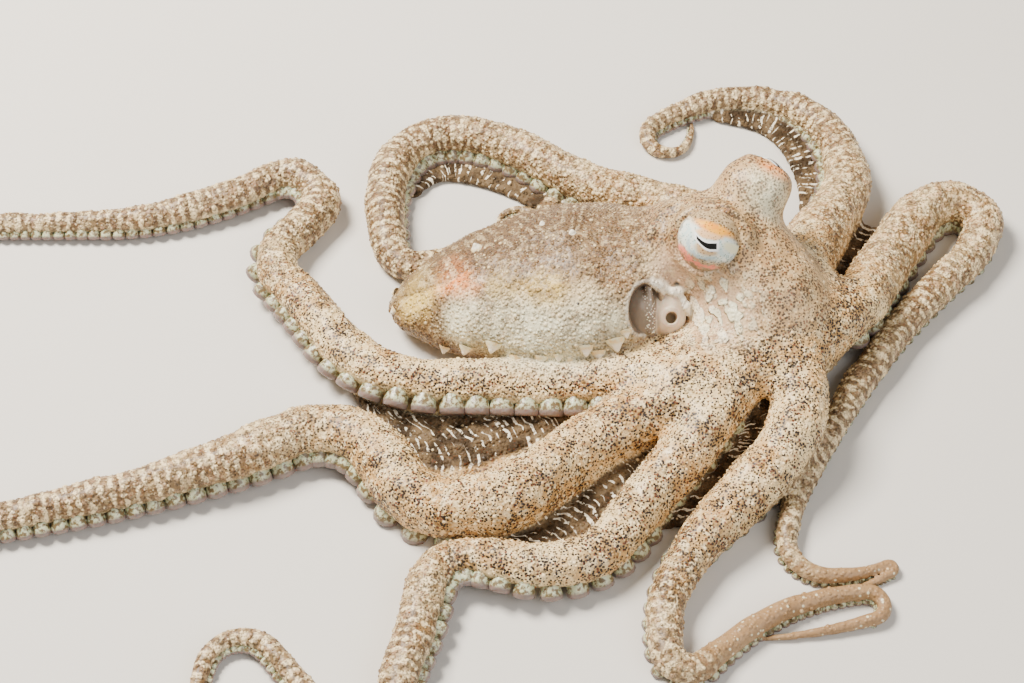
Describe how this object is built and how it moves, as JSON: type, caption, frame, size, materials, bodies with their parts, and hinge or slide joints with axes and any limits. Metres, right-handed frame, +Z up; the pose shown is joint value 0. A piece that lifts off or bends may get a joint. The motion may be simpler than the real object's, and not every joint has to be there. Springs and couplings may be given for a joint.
{
  "type": "octopus",
  "caption": "Small long-armed sand octopus at rest on a flat floor, egg-shaped mantle, raised eyes and long tapering arms spread and curled.",
  "frame": {"origin": "on the floor under the mouth, in the middle of the flat below the arm crown", "axes": "+Z up; the mantle lies along -X; +X runs forward past the eyes; +Y is the animal's left side of the head as it lies"},
  "size_m": [0.1893, 0.1248, 0.0258],
  "materials": {
    "skin": "moist granular skin, sandy cream with fine dark dots and pale papillae",
    "web": "moist thin skin, dark brown with pale streaks",
    "funnel": "smooth translucent grey skin",
    "eye": "wet eyeball with a dark slit pupil"
  },
  "bodies": {
    "root": {"eye_right": "eye", "eye_left": "eye", "funnel": "funnel", "head": "skin", "crown": "skin", "mantle": "skin", "arm_right_4_1": "skin", "arm_right_4_2": "skin", "arm_right_4_3": "skin", "arm_right_4_4": "skin", "arm_right_4_5": "skin", "arm_right_4_6": "skin", "arm_right_3_1": "skin", "arm_right_3_2": "skin", "arm_right_3_3": "skin", "arm_right_3_4": "skin", "arm_right_3_5": "skin", "arm_right_3_6": "skin", "arm_right_2_1": "skin", "arm_right_2_2": "skin", "arm_right_2_3": "skin", "arm_right_2_4": "skin", "arm_right_2_5": "skin", "arm_right_2_6": "skin", "arm_right_1_1": "skin", "arm_right_1_2": "skin", "arm_right_1_3": "skin", "arm_right_1_4": "skin", "arm_left_1_1": "skin", "arm_left_1_2": "skin", "arm_left_1_3": "skin", "arm_left_1_4": "skin", "arm_left_1_5": "skin", "arm_left_2_1": "skin", "arm_left_2_2": "skin", "arm_left_2_3": "skin", "arm_left_2_4": "skin", "arm_left_3_1": "skin", "arm_left_3_2": "skin", "arm_left_3_3": "skin", "arm_left_3_4": "skin", "arm_left_3_5": "skin", "arm_left_4_1": "skin", "arm_left_4_2": "skin", "arm_left_4_3": "skin", "web_right_3_4": "web", "web_right_2_3": "web", "web_right_1_2": "web", "web_left_1_2": "web", "web_left_2_3": "web", "fringe_left_2": "web", "fringe_left_3": "web"}
  },
  "joints": []
}
